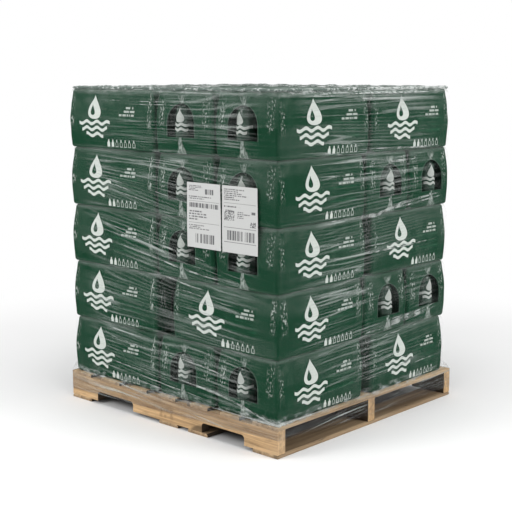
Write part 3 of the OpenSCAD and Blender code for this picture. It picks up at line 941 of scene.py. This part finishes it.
# The grey veil: bands where turns of film overlap, partly a painted reflection
veil_and_reflection = 0.002 + turns.soft(0.49, 0.51) * 0.017 + inner * 0.003 + areas(3.0, 8.0, 0.50, 0.58, 15.0) * 0.014
bunch = f.field(px * 24.0, py * 24.0, pz * 70.0, 4.0, 0.65).soft(0.42, 0.66)
top_bunch = pz.soft(TOP_Z - 0.024, TOP_Z - 0.004) * (0.03 + bunch * (0.13 + right_side * 0.16))
skirt = 1.0 - pz.soft(DECK_Z - 0.006, DECK_Z + 0.004)
foot_bunch = (1.0 - (abs(pz - (DECK_Z + 0.012)) / 0.024).soft(0.2, 1.0)) * bunch * 0.30
from_seam = abs(((pz - DECK_Z) / PACK_H + 0.5).fract() - 0.5) * PACK_H
seam = (1.0 - from_seam.soft(3 * MM, 15 * MM)) * (pz > DECK_Z + 0.1)
seam = seam * areas(4.0, 4.0, 0.30, 0.50, 21.0) * 0.09
threads = lines(0.8, 0.013, 0.05, 41.0) * areas(3.0, 30.0, 0.42, 0.62, 43.0)
threads = threads * skirt * (0.35 + right_side * 0.65)
cover = veil_and_reflection + streaks * (0.05 + inner * 0.95) + seam + top_bunch + foot_bunch + threads * 0.24
cover = cover + skirt * (0.23 - right_side * 0.12)
pale = f.mix(bunch, (0.56, 0.63, 0.59), (0.72, 0.76, 0.74))
# Painted shade: the skirt's film is tinted dark grey between its streaks and threads, to darken the pallet
# and its openings behind it
skirt_shade = skirt * (1.0 - (streaks * 5.0 + threads * 1.5)).clip()
f.surface({
    "Base Color": f.mix(skirt_shade, pale, (0.10, 0.085, 0.085)),
    "Roughness": 0.25 + turns * 0.12,
    "Alpha": cover.least(0.9),
    "Normal": f.bump(streaks + bunch * (top_bunch + foot_bunch) * 2.0, 0.6, 0.003),
})
wrap_mesh.materials.append(f.mat)
place_piece(bpy.data.objects.new("stretch_wrap_film", wrap_mesh), "clear_wrap", "stretch_wrap")
print("wrap dressed")

# %% [markdown]
# ## Folds and gathers of the wrap
# Where film has run together it lies in narrow ropes that catch the light: some long folds across the
# faces, a crumpled roll along the top edge and a bunch at the foot of the near corner. They are strips and
# tubes laid on the wrap; the long ones were placed after the photograph and the fine ones are drawn at
# random along the pull.

# %% Folds
FOLD_OFF = 1.9 * MM
FOLD_RIDGE = ((-1, 0), (0.1, 0.32), (1, 0))


def on_wrap(face, along_mm, z, out):
    """A point just off the wrap, on the left or the right face."""
    (_, x1, y0, _), _ = wrap_box(z)
    return (along_mm * MM, y0 - out, z) if face == LEFT else (x1 + out, along_mm * MM, z)


def fold_strip(face, route, wide, seed):
    """A low ridge along a route of (along, height) points in millimetres, thin at both ends."""
    rng = np.random.default_rng(seed)
    route = np.array(route, float)
    steps = 36
    t = np.linspace(0, 1, steps)
    places = np.linspace(0, 1, len(route))
    runs, heights = np.interp(t, places, route[:, 0]), np.interp(t, places, route[:, 1])
    heights = heights + np.cumsum(rng.normal(0, 0.35, steps))
    widths = wide * np.sin(np.pi * t) ** 0.6 * (0.75 + 0.5 * rng.random(steps)) + 0.4
    rows = []
    for a, h, w in zip(runs, heights, widths):
        rows.append([on_wrap(face, a, (h + k * w / 2) * MM, FOLD_OFF + e * w * MM) for k, e in FOLD_RIDGE])
    return np.array(rows)


draw_folds = random.Random(12)
folds = [
    (LEFT, [(51, 183), (305, 156), (522, 112)], 8), (LEFT, [(-230, 631), (87, 579), (354, 549)], 5),
    (LEFT, [(-37, 262), (182, 247), (312, 227)], 5), (LEFT, [(-300, 700), (60, 640), (200, 618)], 5),
    (RIGHT, [(-120, 1164), (90, 1158)], 6), (RIGHT, [(-157, 1178), (338, 1181)], 7),
    (RIGHT, [(1, 989), (423, 978)], 6), (RIGHT, [(-24, 938), (252, 942)], 8),
    (RIGHT, [(-223, 754), (35, 753), (172, 782), (401, 801)], 13), (RIGHT, [(60, 765), (420, 792)], 6),
    (RIGHT, [(-33, 337), (180, 352), (408, 369)], 14), (RIGHT, [(60, 352), (400, 384)], 6),
]
for face, count, low, high in ((LEFT, 16, -400, 300), (RIGHT, 12, -200, 400)):
    for _ in range(count):
        z = draw_folds.uniform(130, 1165)
        length = draw_folds.uniform(120, 420)
        start = draw_folds.uniform(low, high - length / 2)
        stop = min(start + length, high + 60)
        slope = float(pull_lean(np.array(face), z * MM))
        folds.append((face, [(start, z), (stop, z + slope * (stop - start))], draw_folds.uniform(1.4, 2.6)))

fold_verts, fold_faces = [], []
for i, (face, route, wide) in enumerate(folds):
    rows = fold_strip(face, route, wide, 100 + i)
    start = len(fold_verts)
    fold_verts += rows.reshape(-1, 3).tolist()
    for k in range(len(rows) - 1):
        for j in (0, 1):
            a = start + 3 * k + j
            fold_faces.append((a, a + 3, a + 4, a + 1))


def rope(centre, radius, rough, seed, closed):
    """A crumpled tube along a line of points; rough is how far its radius strays."""
    rng = np.random.default_rng(seed)
    sides, n = 9, len(centre)
    way = np.gradient(centre, axis=0)
    way /= np.linalg.norm(way, axis=1)[:, None] + 1e-9
    up = np.array((0, 0, 1.0))
    side = np.cross(way, up)
    rows = []
    twist = np.cumsum(rng.normal(0, 0.5, n))
    for i in range(n):
        ring = []
        for k in range(sides):
            a = 2 * math.pi * k / sides + twist[i] * 0.35
            r = radius[i] * (0.925 + rough * (rng.random() - 0.5))
            ring.append(centre[i] + side[i] * math.cos(a) * r + up * math.sin(a) * r * 0.75)
        rows.append(ring)
    return np.array(rows).reshape(-1, 3).tolist(), quads(n, sides, closed=closed)


brim, _ = wrap_ring(BRIM_Z, BRIM_IN, BRIM_UP)
brim_thick = np.clip(7 * MM * (1 + 0.35 * ripple(brim, 41, 0.12)), 2.5 * MM, 9 * MM)
foot_run = np.linspace(-0.30, 0.30, 110)
foot_line = np.array([
    (NEAR_X + min(t, 0) + 4 * MM, NEAR_Y + max(t, 0) - 4 * MM, DECK_Z + 5 * MM) for t in foot_run
])
foot_thick = 7 * MM * np.exp(-((foot_run / 0.11) ** 2)) + 1.2 * MM
ropes = ((brim, brim_thick, 0.35, 51, True), (foot_line, foot_thick, 0.75, 52, False))
for line, thick, rough, seed, closed in ropes:
    verts, faces = rope(line, thick, rough, seed, closed)
    start = len(fold_verts)
    fold_verts += verts
    fold_faces += [tuple(start + v for v in quad) for quad in faces]

f = Finish("wrap_folds")
fold_place = f.node("TexCoord", out=3)
crinkle = f.noise(fold_place, 160.0, 3.0, 0.6)
patches = f.noise(fold_place, 22.0, 2.0, 0.5)
rope_x, rope_y, rope_z = f.split(fold_place)
on_brim = rope_z > TOP_Z - 12 * MM
on_foot = rope_z < DECK_Z + 22 * MM
sunny = (rope_x > NEAR_X - 40 * MM) * rope_y.soft(-0.30, 0.10) * 0.12
flecks = (f.noise(fold_place, 75.0, 3.0, 0.65) + sunny).soft(0.50, 0.66)
plain = f.mix(crinkle, (0.46, 0.50, 0.48), (0.74, 0.77, 0.75))
share = (0.10 + patches.soft(0.35, 0.70) * 0.50 + (crinkle - 0.5) * 0.6 + on_foot * 0.30).clip()
f.surface({
    "Base Color": f.mix(on_brim * (1.0 - flecks), plain, (0.085, 0.125, 0.105)),
    "Roughness": 0.22 + crinkle * 0.2,
    "Alpha": share.most(on_brim * 0.88),
    "Normal": f.bump(crinkle, 0.8, 0.003),
})
fold_mesh = new_mesh("wrap_folds", fold_verts, fold_faces)
fold_mesh.materials.append(f.mat)
place_piece(bpy.data.objects.new("wrap_folds", fold_mesh), "clear_wrap", "stretch_wrap")
print("folds", len(folds), "faces", len(fold_faces))

# %% [markdown]
# ## Shipping labels
# Two sheets of paper, stuck on the wrap across a seam between layers. They are thin bent grids, and
# formulas print plain rules, dashes, bar codes and dotted squares on them.

# %% Labels
LABEL_W, LABEL_H, LABEL_GAP = 160 * MM, 222 * MM, 7 * MM
LABEL_X1 = NEAR_X - 82 * MM
LABEL_Z = 662 * MM
LABEL_OFF = 2.6 * MM


def label_finish(name, kind):
    """Paper with bar codes, dotted squares, rules and lines of dashes; s runs across and t up, 0 to 1."""
    f = Finish(name)
    s, t, _ = f.split(f.node("Attribute", {"attribute_name": "sheet_at"}, out=1))

    def box(s0, s1, t0, t1):
        return s.within(s0, s1) * t.within(t0, t1)

    def bars(s0, s1, t0, t1, count, seed, bare=0.48):
        return box(s0, s1, t0, t1) * (f.hash(f.join((s * float(count)).floor(), seed, 0.0)) > bare)

    def dashes(s0, s1, t0, t1, rows, seed):
        row = (t - t0) * (rows / (t1 - t0))
        broken = f.field(s * 34.0, row.floor() * 7.0 + seed, 0.0, 1.0) > 0.46
        mark = (abs(row.fract() - 0.5) < 0.26) * broken
        end = f.hash(f.join(row.floor(), seed, 4.0)) * 0.6 + 0.4
        return box(s0, s1, t0, t1) * mark * (s < s0 + (s1 - s0) * end)

    def dots(s0, s1, t0, t1, count, seed):
        across, up = (s - s0) * (count / (s1 - s0)), (t - t0) * (count / (t1 - t0))
        return box(s0, s1, t0, t1) * (f.hash(f.join(across.floor(), up.floor(), seed)) > 0.45)

    if kind == "left":
        parts = [
            dashes(0.05, 0.45, 0.87, 0.96, 4, 1.0), bars(0.50, 0.80, 0.83, 0.91, 60, 2.0),
            dashes(0.05, 0.90, 0.74, 0.80, 2, 3.0), box(0.05, 0.95, 0.715, 0.72),
            bars(0.07, 0.93, 0.62, 0.69, 90, 4.0, 0.25), dashes(0.06, 0.60, 0.42, 0.58, 4, 5.0),
            box(0.05, 0.95, 0.385, 0.39), dashes(0.06, 0.80, 0.28, 0.36, 3, 6.0),
            bars(0.24, 0.80, 0.08, 0.22, 64, 7.0),
        ]
    else:
        parts = [
            dashes(0.05, 0.70, 0.78, 0.96, 6, 11.0), box(0.05, 0.95, 0.74, 0.745),
            dashes(0.05, 0.40, 0.67, 0.71, 1, 12.0), dots(0.06, 0.34, 0.48, 0.64, 17, 13.0),
            dashes(0.42, 0.80, 0.52, 0.63, 4, 14.0), box(0.82, 0.93, 0.60, 0.64),
            dots(0.78, 0.94, 0.41, 0.49, 9, 15.0), box(0.05, 0.95, 0.375, 0.382),
            bars(0.14, 0.90, 0.19, 0.335, 80, 16.0), box(0.05, 0.95, 0.155, 0.163),
        ]
    ink = reduce(Wire.most, parts)
    fibre = f.field(s * 40.0, t * 55.0, 0.0, 3.0)
    paper = f.mix(fibre, (0.515, 0.52, 0.51), (0.585, 0.59, 0.58))
    colour = f.mix(ink * 0.85, paper, (0.045, 0.045, 0.05))
    f.surface({"Base Color": colour, "Roughness": 0.55 + fibre * 0.15})
    return f.mat


def label(name, x0, kind):
    """A sheet with its left edge at x0, a little curled at its sides."""
    nx, nz = 14, 20
    verts, at = [], []
    for k in range(nz + 1):
        for i in range(nx + 1):
            s, t = i / nx, k / nz
            curl = 2.2 * MM * (2 * abs(s - 0.5)) ** 4 * (0.4 + 0.6 * t) + 0.9 * MM * math.sin(5 * t + 3 * s)
            verts.append((x0 + s * LABEL_W, NEAR_Y - WRAP_OFF - LABEL_OFF - curl, LABEL_Z + t * LABEL_H))
            at.append((s, t, 0.0))
    mesh = new_mesh(name, verts, quads(nz + 1, nx + 1, around=False))
    note_points(mesh, "sheet_at", at)
    mesh.materials.append(label_finish(name, kind))
    place_piece(bpy.data.objects.new(name, mesh), "label_paper", f"shipping_{name}")


label("label_right", LABEL_X1 - LABEL_W, "right")
label("label_left", LABEL_X1 - 2 * LABEL_W - LABEL_GAP, "left")
print("labels on the wrap")

# %% [markdown]
# ## Sizes
# The box of the dressed part is printed.

# %% Sizes
low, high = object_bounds()
print("dressed box", [round(v, 4) for v in low], [round(v, 4) for v in high])
